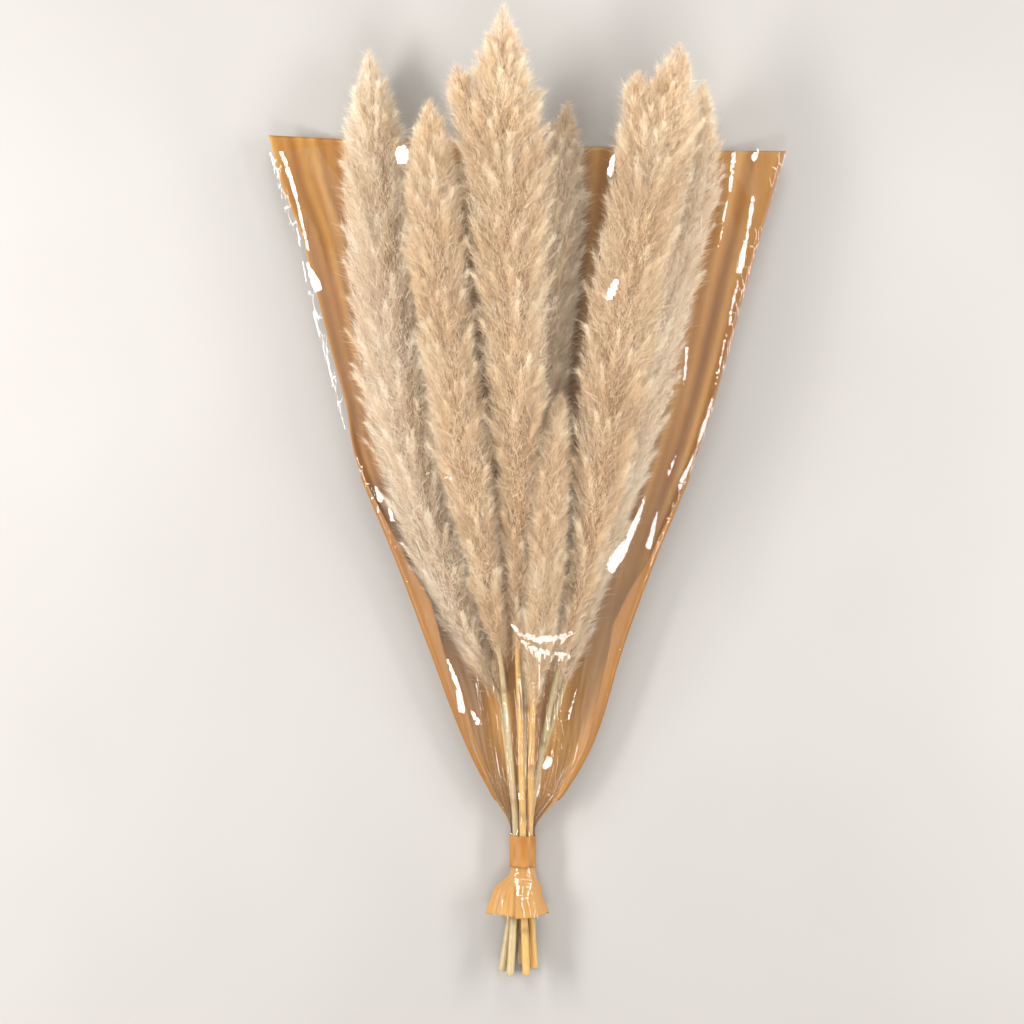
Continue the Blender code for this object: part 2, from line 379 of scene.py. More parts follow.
# %% Plume fluff finish
def fluff_material(name, deep, middle, light):
    """Matt, slightly silky strands."""
    material, tree, shader = new_material(name, roughness=0.62, sheen_weight=0.25,
                                          sheen_roughness=0.5, specular_ior_level=0.25)
    tone = step(tree, "ShaderNodeGroup", {}, node_tree=STRAW_TONE_AND_SHADE)
    for label, colour in (("Deep", deep), ("Middle", middle), ("Light", light)):
        tone.inputs[label].default_value = (*colour, 1.0)
    tree.links.new(tone.outputs["Colour"], shader.inputs["Base Color"])
    return material


# Painted shade: each fluff's first colour is for strands deep inside a plume and for its core.
PALE_FLUFF = fluff_material("pale fluff", (0.36, 0.20, 0.09), (0.88, 0.70, 0.48), (0.98, 0.92, 0.79))
WARM_FLUFF = fluff_material("warm fluff", (0.35, 0.18, 0.07), (0.85, 0.63, 0.39), (0.98, 0.89, 0.71))
TWIG = fluff_material("bare twigs", (0.36, 0.22, 0.10), (0.62, 0.44, 0.22), (0.80, 0.64, 0.38))


# %% Cane finish
def cane_material(name, straw, green):
    """Satin dry cane: fine ribs, blotches towards green, darker rings at its nodes, pale pith."""
    material, tree, shader = new_material(name, roughness=0.42, specular_ior_level=0.4)
    streaks, blotches = dry_fibres(tree, 900.0, 18.0, 9.0)
    greener = ramp(tree, blotches, [(0.38, straw), (0.66, green)])
    dark = ramp(tree, streaks, [(0.30, (0.55, 0.50, 0.42)), (0.62, (1, 1, 1))])
    streaked = blend_colours(tree, 0.55, greener, dark, blend_type="MULTIPLY")
    ringed = blend_colours(tree, times(tree, mark(tree, "ring"), 0.7), streaked, (0.26, 0.14, 0.05, 1))
    colour = blend_colours(tree, mark(tree, "pith"), ringed, (0.74, 0.62, 0.40, 1))
    tree.links.new(colour, shader.inputs["Base Color"])
    tree.links.new(bump(tree, streaks, 0.35, 0.0004), shader.inputs["Normal"])
    return material


PALE_CANE = cane_material("pale cane", (0.58, 0.435, 0.24), (0.50, 0.41, 0.22))
GOLD_CANE = cane_material("gold cane", (0.72, 0.41, 0.12), (0.62, 0.39, 0.14))


# %% Kraft paper finish
def kraft_material(name, dark, middle, light, fibre_bump):
    """Brown paper with faint fibres and blotches, and light and shade painted by its ridge mark."""
    material, tree, shader = new_material(name, roughness=0.5, specular_ior_level=0.45,
                                          sheen_weight=0.1)
    streaks, blotches = dry_fibres(tree, 260.0, 60.0, 7.0)
    # Painted light and shade: a high ridge mark lightens fold crests and bulging creases, a low one darkens
    # the turned hems.
    shade = plus(tree, times(tree, mark(tree, "ridge"), 0.45), times(tree, blotches, 0.45),
                 times(tree, streaks, 0.18))
    colour = ramp(tree, shade, [(0.22, dark), (0.50, middle), (0.85, light)])
    tree.links.new(colour, shader.inputs["Base Color"])
    rough = plus(tree, times(tree, streaks, 0.22), 0.36)
    tree.links.new(rough, shader.inputs["Roughness"])
    tree.links.new(bump(tree, streaks, fibre_bump, 0.0004), shader.inputs["Normal"])
    return material


KRAFT = kraft_material("kraft paper", (0.29, 0.113, 0.012), (0.40, 0.172, 0.024),
                       (0.54, 0.28, 0.066), 0.25)
BAND_PAPER = kraft_material("band paper", (0.30, 0.112, 0.014), (0.40, 0.162, 0.024),
                            (0.49, 0.24, 0.05), 0.4)


# %% Clear film finish
FILM_IOR = 1.50
FILM_SHINE = 1.3            # both sides of the film mirror
RAGGED_EDGE = 0.9           # how far crinkles eat into a flank's edge
FLANK_CELLS = 80.0          # crumpled facets for each metre, on the flanks and along the seams
SEAM_CELLS = 130.0
WIRE_LEVEL = 0.60           # above which a crumple line is a bright wire


def crumple_lines(tree, place, scale):
    """Thin lines where crumpled facets meet, from 0 between them to 1 on them."""
    cells = step(tree, "ShaderNodeTexVoronoi", {"Vector": place, "Scale": scale},
                 feature="DISTANCE_TO_EDGE")
    return minus(tree, 1.0, times(tree, cells.outputs["Distance"], 13.0), clamp=True)


def film_material():
    """Clear film: mostly see-through, and a mirror only where a light meets it.

    The film is one skin with air on both sides, so its index is turned over for rays from behind.
    """
    material, tree, shader = new_material("clear film", roughness=0.06, metallic=1.0,
                                          base_color=(1.0, 1.0, 1.0, 1.0))
    place = object_place(tree)
    crinkle = noise(tree, place, 60.0, 3.0, Roughness=0.5, Distortion=0.6)
    turned = step(tree, "ShaderNodeVectorTransform", {0: mark(tree, "flank_normal", "Vector")},
                  vector_type="NORMAL", convert_from="OBJECT", convert_to="WORLD").outputs[0]
    torn = noise(tree, place, 210.0, 2.0, Roughness=0.6, Distortion=1.0)
    ragged = times(tree, minus(tree, torn, 0.5), RAGGED_EDGE)
    edge = minus(tree, plus(tree, mark(tree, "flank"), ragged), 0.45)
    edge = minus(tree, edge, times(tree, crumple_lines(tree, place, FLANK_CELLS), 0.35))
    longer = vectors(tree, "MULTIPLY", place, (1.0, 0.36, 1.0))
    wires = times(tree, crumple_lines(tree, longer, SEAM_CELLS), mark(tree, "crumpled"))
    wires = maths(tree, "GREATER_THAN", wires, WIRE_LEVEL)
    on_flank = maths(tree, "MAXIMUM", times(tree, edge, 10.0, clamp=True), wires)
    own = step(tree, "ShaderNodeNewGeometry").outputs
    normal = vectors(tree, "NORMALIZE", between(tree, on_flank, own["Normal"], turned))
    tilted = bump(tree, crinkle, 0.3, 0.0008, Normal=normal)
    from_behind = times(tree, own["Backfacing"], 1 / FILM_IOR - FILM_IOR)
    fresnel = step(tree, "ShaderNodeFresnel", {"IOR": plus(tree, from_behind, FILM_IOR), "Normal": tilted})
    shine = times(tree, fresnel.outputs[0], FILM_SHINE, clamp=True)
    clear = step(tree, "ShaderNodeBsdfTransparent", {"Color": (0.985, 0.98, 0.97, 1.0)})
    both = step(tree, "ShaderNodeMixShader", {0: shine, 1: clear.outputs[0], 2: shader.outputs[0]})
    tree.links.new(tilted, shader.inputs["Normal"])
    output = tree.nodes["Material Output"]
    tree.links.new(both.outputs[0], output.inputs["Surface"])
    return material


FILM = film_material()


# %% Floor
def make_floor():
    """A plain pale sheet of studio board."""
    material, tree, shader = new_material("pale floor", roughness=0.7)
    tone = noise(tree, object_place(tree), 2.5, 2.0)
    colour = ramp(tree, tone, [(0.3, (0.42, 0.40, 0.375)), (0.7, (0.45, 0.43, 0.405))])
    tree.links.new(colour, shader.inputs["Base Color"])
    reach, below = 4.0, -0.0008
    corners = [(-reach, -reach, below), (reach, -reach, below), (reach, reach, below),
               (-reach, reach, below)]
    floor = make_piece("floor", corners, [(0, 1, 2, 3)], [material])


make_floor()
print("finishes:", [m.name for m in (PALE_FLUFF, WARM_FLUFF, PALE_CANE, GOLD_CANE, KRAFT, FILM)])

# %% [markdown]
# ## The sleeve's shape
# Both sheets follow the same outline: wide at the mouth, rolled into a tube at the tie, and
# flared again in the skirt.  One table of stations gives that outline, and a cubic runs between
# them.  The kraft sheet stays flat on the table, and the film arches over the plumes.

# %% Outline of the sleeve
TIE_X = -0.0047
TIE_Z = 0.0142
TIE_RADIUS = 0.0129
# Y, left edge, right edge, seam height, crown height and keel height, from the skirt to the mouth
SLEEVE = np.array([
    (-0.438, -0.042, 0.021, 0.015, 0.042, 0.0),
    (-0.412, -0.034, 0.013, 0.0145, 0.035, 0.0007),
    (-0.392, TIE_X - TIE_RADIUS, TIE_X + TIE_RADIUS, TIE_Z, TIE_Z + TIE_RADIUS, TIE_Z - TIE_RADIUS),
    (-0.350, TIE_X - TIE_RADIUS, TIE_X + TIE_RADIUS, TIE_Z, TIE_Z + TIE_RADIUS, TIE_Z - TIE_RADIUS),
    (-0.310, -0.038, 0.038, 0.0155, 0.041, 0.0006),
    (-0.250, -0.067, 0.071, 0.018, 0.058, 0.0),
    (-0.160, -0.101, 0.098, 0.022, 0.081, 0.0),
    (-0.080, -0.131, 0.127, 0.024, 0.098, 0.0),
    (0.060, -0.187, 0.183, 0.026, 0.122, 0.0),
    (0.240, -0.236, 0.234, 0.024, 0.127, 0.0),
    (0.367, -0.2695, 0.2695, 0.020, 0.123, 0.0),
])
MOUTH_Y = 0.367
MOUTH_SLANT = -0.008
SLANT_STARTS_Y = 0.240
FLAT_PART = 0.62
GATHER_STARTS_Y = -0.230
GATHER_ENDS_Y = -0.345
SKIRT_END_Y = -0.438


def smooth_between(at, knots, values):
    """A cubic through values at rising knots, level where the values turn back."""
    secants = np.diff(values) / np.diff(knots)
    before, after = secants[:-1], secants[1:]
    keeps_direction = before * after > 0
    total = np.where(keeps_direction, before + after, 1.0)
    inner = np.where(keeps_direction, 2 * before * after / total, 0.0)
    slopes = np.concatenate([secants[:1], inner, secants[-1:]])
    i = np.clip(np.searchsorted(knots, at) - 1, 0, len(knots) - 2)
    gap = knots[i + 1] - knots[i]
    t = (at - knots[i]) / gap
    start = (2 * t**3 - 3 * t**2 + 1) * values[i] + (t**3 - 2 * t**2 + t) * gap * slopes[i]
    end = (3 * t**2 - 2 * t**3) * values[i + 1] + (t**3 - t**2) * gap * slopes[i + 1]
    return start + end


def outline(y):
    """Left, right, seam, crown and keel at each Y."""
    return [smooth_between(y, SLEEVE[:, 0], SLEEVE[:, k]) for k in range(1, 6)]


def share(value, start, end):
    """0 before start, 1 after end, and an even rise between."""
    return np.clip((value - start) / (end - start), 0.0, 1.0)


def soft_share(value, start, end):
    """As share, but easing in and out."""
    t = share(value, start, end)
    return t * t * (3 - 2 * t)


PLEAT_HEIGHT = 3.2 * MM
SKIRT_PLEAT_HEIGHT = 3.4 * MM


def pleats(u, y, seed):
    """Height of the gathers that run out from the tie: none at the mouth or under the band."""
    grow = PLEAT_HEIGHT * soft_share(-y, 0.10, 0.29) * soft_share(y, -0.352, -0.322)
    skirt = SKIRT_PLEAT_HEIGHT * soft_share(-y, 0.391, 0.420)
    folds = np.cos(2 * math.pi * (4.2 * u + 0.5 * value_noise(u * 3 + 7, y * 9 + 3, seed)))
    folds = folds + 0.6 * np.cos(2 * math.pi * (9.3 * u + 0.7 * value_noise(u * 2, y * 14, seed + 1)))
    return (grow + skirt) * folds / 1.6


print("widest in mm:", round((SLEEVE[-1, 2] - SLEEVE[-1, 1]) / MM))

# %% [markdown]
# ## Kraft back sheet
# A grid of points laid to the outline makes the sheet.  Soft folds run up it, its lower edges
# are turned over the front as hems, and it gets its thickness from Solidify.

# %% Kraft back sheet
KRAFT_COLUMNS = 150
KRAFT_ROWS = 230
FOLD_HEIGHT = 0.0011        # of the long soft folds that run up the sheet
CRUMPLE_HEIGHT = 0.0022     # of the facets in the skirt
TORN_DEPTH = 0.0045         # how uneven the skirt's end is
TUCK = 0.0009               # how far one front edge lies under the other in the skirt
FRONT_GAP = 0.0008          # between the paper's turned front and the film, below the band
FILM_STANDS_OUT = 0.009     # how far the film's left edge stands outside the paper's
HEM_COLUMNS = 8
HEM_FOLD = 0.0028           # height of the turned edge
HEM_SLOPE = 0.20            # how fast the turned flap rises over the film
# Painted shade: the turned hem is kept near the dark end of the paper's scale.
HEM_PAINTED_SHADE = 0.05            # its place on the paper's scale from dark to light
# Width of the turned-over hem along Y, in metres
HEM_Y = (-0.300, -0.259, -0.171, -0.121, -0.057, 0.016)
HEM_WIDTHS = (0.0015, 0.006, 0.013, 0.018, 0.008, 0.0015)


def kraft_edges(y):
    """The outline's edges, with the left one drawn in where the film stands outside it."""
    left, right, seam, crown, keel = outline(y)
    bay = soft_share(y, 0.03, 0.10) * (1 - soft_share(y, 0.26, 0.33))
    return left + FILM_STANDS_OUT * bay, right, seam, crown, keel


def kraft_surface(u, y):
    """Places on the paper's underside: u runs from -1 at its left edge to 1 at its right."""
    left, right, seam, crown, keel = kraft_edges(y)
    rolled = share(-y, -GATHER_STARTS_Y, -GATHER_ENDS_Y)
    overlaps = soft_share(-y, 0.388, 0.402)
    wrap = math.pi / 2 * (1 + 0.985 * soft_share(-y, 0.356, 0.386) + 0.06 * overlaps)
    rise = np.maximum(0.0, (np.abs(u) - FLAT_PART) / (1 - FLAT_PART))
    folds = np.cos(2 * math.pi * (6.5 * u + 0.55 * value_noise(u * 2.5 + 9, y * 3.0 + 5, 11)))
    folds = folds + 0.7 * np.cos(2 * math.pi * (15.0 * u + 0.8 * value_noise(u * 4, y * 2.2, 12)))
    fold_height = FOLD_HEIGHT * (folds + 1.7) * (1 - rolled) * (0.35 + 0.65 * np.minimum(rise * 1.6, 1))
    fold_height = fold_height * (1 - soft_share(np.abs(u), 0.90, 0.985))
    fold_height = fold_height * (1 - 0.7 * soft_share(-y, 0.0, 0.16))
    flat = seam * rise**2 + fold_height * soft_share(y, -0.30, -0.18)
    below = np.cos(wrap * u)
    tube = seam - np.where(below > 0, seam - keel, crown - seam - FRONT_GAP) * below
    x = (left + right) / 2 + (right - left) / 2 * ((1 - rolled) * u + rolled * np.sin(wrap * u))
    z = (1 - rolled) * flat + rolled * tube
    crumple = CRUMPLE_HEIGHT * soft_share(-y, 0.395, 0.412) * facet_noise(u * 5.5 + 0.3, y / 0.015, 14)
    lift = 0.5 * pleats(u, y, 21) + crumple
    x = x + rolled * lift * np.sin(wrap * u)
    inwards = np.where(below > 0, 1 - 0.5 * rolled, -1.0)
    z = z - TUCK * soft_share(-u, 0.70, 0.95) * overlaps
    z = np.maximum(z + np.abs(lift) * inwards, 0.0)
    slant = share(y, SLANT_STARTS_Y, MOUTH_Y)
    wave = 0.0012 * value_noise(u * 7, y * 0 + 2.5, 13) * slant
    # Painted light: the paper's colour is lighter on the crests of its folds, and lighter all over below the
    # middle, towards the tie.
    ridge = np.clip(folds / 3.4 + 0.5, 0, 1)
    ridge = ridge + (0.95 - ridge) * soft_share(-y, 0.0, 0.16)
    torn = TORN_DEPTH * facet_noise(u * 3.1 + 1.3, y * 0 + 0.4, 15) * soft_share(-y, 0.405, 0.438)
    return x, y + (MOUTH_SLANT * u + wave) * slant + torn, z, ridge


def hem_surface(side, y, across):
    """A hem: the paper's edge turned up and back over the film.  across runs from 0 to 1."""
    x, y_edge, z, _ = kraft_surface(np.full_like(y, float(side)), y)
    width = np.interp(y + 0.012 * side, HEM_Y, HEM_WIDTHS)
    width = width * (1 + 0.16 * value_noise(y * 30, y * 0 + side, 31))
    turn = np.minimum(across * 4, 1.0)
    inward = np.where(across < 0.25, -0.0012 * np.sin(math.pi * turn), (across - 0.25) / 0.75 * width)
    up = HEM_FOLD * (1 - np.cos(math.pi * turn)) / 2 + HEM_SLOPE * np.maximum(inward, 0)
    up = up + 0.0009 * value_noise(y * 45, across * 2, 32 + side) * across
    # The fourth value is the hem's painted shade.
    return x - side * inward, y_edge, z + up, HEM_PAINTED_SHADE + 0 * across


def make_kraft_sheet():
    """The back sheet and its two hems, as one piece of paper."""
    u, v = np.meshgrid(np.linspace(-1, 1, KRAFT_COLUMNS), np.linspace(0, 1, KRAFT_ROWS))
    y = SKIRT_END_Y + (MOUTH_Y - SKIRT_END_Y) * v**1.12
    layers = [np.stack(kraft_surface(u, y), -1).reshape(-1, 4)]
    faces = [grid_faces(KRAFT_ROWS, KRAFT_COLUMNS)]
    hem_rows = 150
    for side in (-1, 1):
        across, v = np.meshgrid(np.linspace(0, 1, HEM_COLUMNS), np.linspace(0, 1, hem_rows))
        first = sum(len(layer) for layer in layers)
        layers.append(np.stack(hem_surface(side, -0.318 + 0.338 * v, across), -1).reshape(-1, 4))
        hem = grid_faces(hem_rows, HEM_COLUMNS) + first
        faces.append(hem if side < 0 else hem[:, ::-1])
    points = np.concatenate(layers)
    piece = make_piece("kraft_sheet", points[:, :3], np.concatenate(faces), [KRAFT])
    keep(piece.data, "ridge", points[:, 3])
    give_paper_thickness(piece, 1.0)
    return piece


kraft_sheet = make_kraft_sheet()
print("kraft sheet faces:", len(kraft_sheet.data.polygons))

# %% [markdown]
# ## Clear front film
# The film is pulled flat between its seams and the plumes: a narrow flange along each seam, a
# steep flat side, and a gentle top.  Only the tilt of a spot decides whether it mirrors a light,
# so a highlight is made as a crease: a low ridge, with a flank whose normal is turned to the
# one direction that sends the light into the camera.

# %% Places of the creases
# Start X, Y and width, end X, Y and width, all in mm, and the light that the flank mirrors
CREASES = [
    (-127, 350, 13, -127, 334, 13, "left"),
    (86, 342, 6, 82, 320, 7, "right"),
    (90, 216, 7, 81, 197, 10, "right"),
    (-256, 358, 5, -240, 310, 5, "left"),
    (-240, 310, 4, -227, 254, 3, "left"),
    (-229, 242, 2, -216, 212, 13, "left"),
    (-239, 277, 2, -236, 259, 3, "left"),
    (-233, 242, 2, -230, 224, 2, "left"),
    (-222, 190, 3, -216, 163, 2, "left"),
    (-210, 151, 2, -204, 124, 3, "left"),
    (-197, 97, 2, -189, 61, 3, "left"),
    (-157, 8, 3, -152, -7, 8, "left"),
    (-144, -13, 2, -139, -27, 6, "left"),
    (-89, 19, 2, -75, 16, 3, "foot"),
    (212, 351, 6, 207, 311, 4, "right"),
    (205, 303, 3, 196, 256, 3, "right"),
    (239, 357, 3, 232, 346, 9, "right"),
    (234, 308, 6, 228, 273, 4, "right"),
    (228, 269, 5, 219, 231, 9, "right"),
    (218, 223, 4, 209, 176, 3, "right"),
    (206, 167, 2, 195, 114, 3, "right"),
    (192, 101, 3, 178, 55, 4, "right"),
    (163, 151, 4, 160, 112, 3, "right"),
    (173, 42, 2, 158, 9, 7, "right"),
    (134, -18, 2, 125, -55, 8, "right"),
    (120, -3, 3, 104, -44, 9, "right"),
    (103, -46, 9, 84, -77, 15, "right"),
    (153, 41, 2, 145, 20, 3, "right"),
    (-16, -132, 4, -7, -143, 5, "foot"),
    (-7, -143, 5, 9, -147, 6, "foot"),
    (9, -147, 6, 31, -146, 6, "foot"),
    (31, -146, 6, 49, -140, 3, "foot"),
    (-6, -149, 4, 9, -158, 5, "foot"),
    (9, -158, 5, 27, -163, 6, "foot"),
    (27, -163, 6, 42, -163, 2, "foot"),
    (-83, -169, 3, -71, -202, 6, "left"),
    (-72, -202, 6, -68, -225, 9, "left"),
    (-58, -223, 3, -50, -236, 7, "left"),
    (24, -268, 5, 19, -282, 11, "right"),
    (13, -298, 3, 8, -312, 6, "right"),
    (-8, -307, 4, -7, -316, 5, "left"),
    (-18, -352, 3, -17, -363, 3, "left"),
    (50, -200, 2, 42, -231, 3, "right"),
    (-12, -398, 4, -6, -426, 4, "left"),
    (3, -404, 3, -0, -420, 3, "right"),
]
print("creases:", len(CREASES))

# %% Clear front film
FILM_COLUMNS = 345
FILM_ROWS = 285
# Heights of the arch at its folds, from the seam (0) to the middle (1)
ARCH_FOLDS = (0.0, 0.020, 0.052, 0.380)
FOLD_HEIGHTS = (0.0, 0.075, 0.085, 0.88)
SEAM_GAP = 0.0014           # between the film and the paper at a seam
ROLLED_GAP = 0.0004         # and where both are rolled round the canes
SHARP_FOLD = math.radians(15)
FILM_DROP = 0.010           # how much lower the film's mouth is cut than the paper's
RIDGE_HEIGHT = 0.0007
BROAD_FACET = 0.0016        # heights of the film's flat facets
FINE_FACET = 0.0005
SEAM_CRINKLE = 0.0010       # height of the crinkles along the seams
FLANK_OVERLAP = 0.0012      # by which a crease runs on past its ends, so that chained ones join
FLANK_BLUR = 0.006          # over which a flank's mask fades, so its edge is found between points


def arch_height(a):
    """Height of the arch, from 0 at the seam to 1 at the middle: straight to the last fold."""
    last, height = ARCH_FOLDS[-1], FOLD_HEIGHTS[-1]
    top = 1 - (1 - height) * ((1 - a) / (1 - last))**2
    return np.where(a < last, np.interp(a, ARCH_FOLDS, FOLD_HEIGHTS), top)


def film_surface(u, y):
    """Places on the film's outside before it is creased, and how free it is to move."""
    left, right, seam, crown, _ = outline(y)
    rolled = share(-y, -GATHER_STARTS_Y, -GATHER_ENDS_Y)
    start = seam + SEAM_GAP * (1 - rolled) + ROLLED_GAP * rolled
    arch = (1 - rolled) * arch_height(1 - np.abs(u)) + rolled * np.cos(math.pi / 2 * u)
    x = (left + right) / 2 + (right - left) / 2 * ((1 - rolled) * u + rolled * np.sin(math.pi / 2 * u))
    z = start + (crown - start) * arch
    lift = pleats(u, y, 22)
    z = z + lift * np.minimum((1 - np.abs(u)) / 0.2, 1.0)
    slant = share(y, SLANT_STARTS_Y, MOUTH_Y)
    wave = 0.0015 * value_noise(u * 9, y * 0 + 4.5, 45)
    free = (1 - 0.93 * rolled) * np.minimum((1 - np.abs(u)) / 0.12, 1.0)
    margin = (1 - rolled) * (1 - np.minimum((1 - np.abs(u)) / 0.10, 1.0))
    return x, y + (wave - FILM_DROP) * slant, z, free, margin


def mirror_normals(points, light):
    """At each point, the normal that mirrors a light's middle into the camera."""
    to_camera = np.array(camera.location) - points
    to_light = np.array(LIGHTS[light][0]) - points
    half = to_camera / np.linalg.norm(to_camera, axis=1, keepdims=True)
    half += to_light / np.linalg.norm(to_light, axis=1, keepdims=True)
    return half / np.linalg.norm(half, axis=1, keepdims=True)


def crease(points, x1, y1, width1, x2, y2, width2):
    """The ridge that one crease raises at each point, and a mask that is over half on its flank."""
    start, end = np.array([x1, y1]) * MM, np.array([x2, y2]) * MM
    length = np.linalg.norm(end - start)
    along = (end - start) / length
    across = np.array([-along[1], along[0]])
    offset = points[:, :2] - start
    t, s = offset @ along / length, offset @ across
    half = np.interp(t, (0, 1), (width1 * MM / 2, width2 * MM / 2))
    half = half * (0.65 + 0.35 * np.sqrt(np.clip(4 * t * (1 - t), 0, 1)))
    beyond = np.maximum(np.abs(s) - half, (np.abs(t - 0.5) - 0.5) * length - FLANK_OVERLAP)
    ridge = RIDGE_HEIGHT * np.exp(-(np.maximum(beyond + half, 0) / (half + 0.002))**2)
    return ridge, np.clip(0.5 - beyond / FLANK_BLUR, 0, 1)


def make_film():
    """The front sheet, a single skin: columns stand closer towards its seams."""
    across = np.linspace(-1, 1, FILM_COLUMNS)
    across = across * (1 + 0.30 * (1 - across * across))
    for fold in ARCH_FOLDS[1:]:
        for side in (-1, 1):
            across[np.argmin(np.abs(across - side * (1 - fold)))] = side * (1 - fold)
    u, v = np.meshgrid(across, np.linspace(0, 1, FILM_ROWS))
    y = SKIRT_END_Y + (MOUTH_Y - SKIRT_END_Y) * v**1.05
    *places, free, margin = film_surface(u, y)
    points = np.stack(places, -1).reshape(-1, 3)
    x, y = points[:, 0], points[:, 1]
    warp = 0.35 * value_noise(x * 22, y * 14, 41)
    facets = BROAD_FACET * facet_noise(x / 0.045 + warp, y / 0.085 + warp, 42)
    facets = facets + FINE_FACET * facet_noise(x / 0.018 + warp, y / 0.030 - warp, 43)
    crinkle = SEAM_CRINKLE * facet_noise(x / 0.006, y / 0.017 + warp, 44)
    raised, flank = np.zeros(len(points)), np.zeros(len(points))
    to_right = (x > 0)[:, None]
    normals = np.where(to_right, mirror_normals(points, "right"), mirror_normals(points, "left"))
    patchy = value_noise(x * 25, y * 16, 46) + value_noise(x * 60, y * 45, 47)
    crumpled = margin.ravel() * np.clip(patchy * 1.6 + 0.75, 0, 1) * share(y, -0.13, -0.08)
    for *facts, light in CREASES:
        ridge, mask = crease(points, *facts)
        raised = np.maximum(raised, ridge)
        stronger = mask > flank
        normals[stronger] = mirror_normals(points[stronger], light)
        flank = np.maximum(flank, mask)
    points[:, 2] += raised * free.ravel() + facets * free.ravel() + crinkle * margin.ravel()
    piece = make_piece("film_sheet", points, grid_faces(FILM_ROWS, FILM_COLUMNS), [FILM])
    piece.data.set_sharp_from_angle(angle=SHARP_FOLD)
    for label, values in (("flank", flank), ("crumpled", crumpled), ("flank_normal", normals)):
        keep(piece.data, label, values)
    return piece


film_sheet = make_film()
print("film faces:", len(film_sheet.data.polygons))

# %% [markdown]
# ## Paper band
# A strip of the same paper is wound once and a little more round the gathered sheets, so its
# last end lies over its first.

# %% Paper band
BAND_TOP_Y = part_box("kraft_band")[1][1]
BAND_BOTTOM_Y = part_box("kraft_band")[0][1]
BAND_COLUMNS = 150
BAND_ROWS = 14
BAND_TURNS = 1.14
BAND_RADIUS = 0.0135
BAND_STEP = 0.00045         # how much further out the strip lies after a turn


def make_band():
    """The wound strip, with a slightly creased face and uneven edges."""
    turn, v = np.meshgrid(np.linspace(0, BAND_TURNS, BAND_COLUMNS), np.linspace(0, 1, BAND_ROWS))
    angle = 2 * math.pi * turn + math.radians(200)
    radius = BAND_RADIUS + BAND_STEP * turn
    radius = radius + 0.00022 * value_noise(turn * 26, v * 2.2, 51)
    radius = radius + 0.00012 * value_noise(turn * 6, v * 14, 52)
    edge = 0.0005 * value_noise(turn * 9, v * 0 + 1.5, 53) + 0.0010 * (turn - 0.5)
    y = BAND_BOTTOM_Y + (BAND_TOP_Y - BAND_BOTTOM_Y) * v + edge
    x = TIE_X + radius * np.cos(angle)
    z = np.maximum(TIE_Z + radius * np.sin(angle), 0.0)
    # Painted light: the strip's colour is lighter where its creases bulge out, by the same noise that moves
    # its face.
    ridge = 0.5 + 0.5 * value_noise(turn * 26, v * 2.2, 51)
    piece = make_piece("paper_band", np.stack([x, y, z], -1).reshape(-1, 3),
                       grid_faces(BAND_ROWS, BAND_COLUMNS)[:, ::-1], [BAND_PAPER])
    keep(piece.data, "ridge", ridge.ravel())
    give_paper_thickness(piece, -1.0)
    return piece


paper_band = make_band()
print("band width in mm:", round((BAND_TOP_Y - BAND_BOTTOM_Y) / MM, 1))

# %% [markdown]
# ## Canes
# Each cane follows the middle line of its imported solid, so it passes the tie in its own place
# and meets its plume.  Rings of points make the tube: it swells at its nodes, it is finely
# ribbed, its cut end shows pith, and it runs on as a thin spine inside the plume.

# %% Canes
CANE_SIDES = 20
RING_SPACING = 0.005
NODE_SPACING = 0.118        # between the swellings on a cane
CANE_RADII = (0.0040, 0.0030, 0.0005)   # at the foot, below the plume and at the plume's tip
SWELL_HALF_LENGTH = 0.0035
# The cut end, from the rim inwards: share of the radius, and how far along Y the ring stands
CUT_END = ((0.93, -0.0004), (0.72, -0.0003), (0.62, 0.0006), (0.02, 0.0009))
GOLD_ONES = ("centre_tall", "right_low")


def tube(middles, radii, sides, squash=1.0):
    """Rings of points round a line that runs roughly along Y."""
    angles = np.linspace(0, 2 * math.pi, sides, endpoint=False)
    ring = np.stack([np.cos(angles), np.zeros(sides), squash * np.sin(angles)], -1)
    return middles[:, None, :] + ring[None] * radii[..., None]


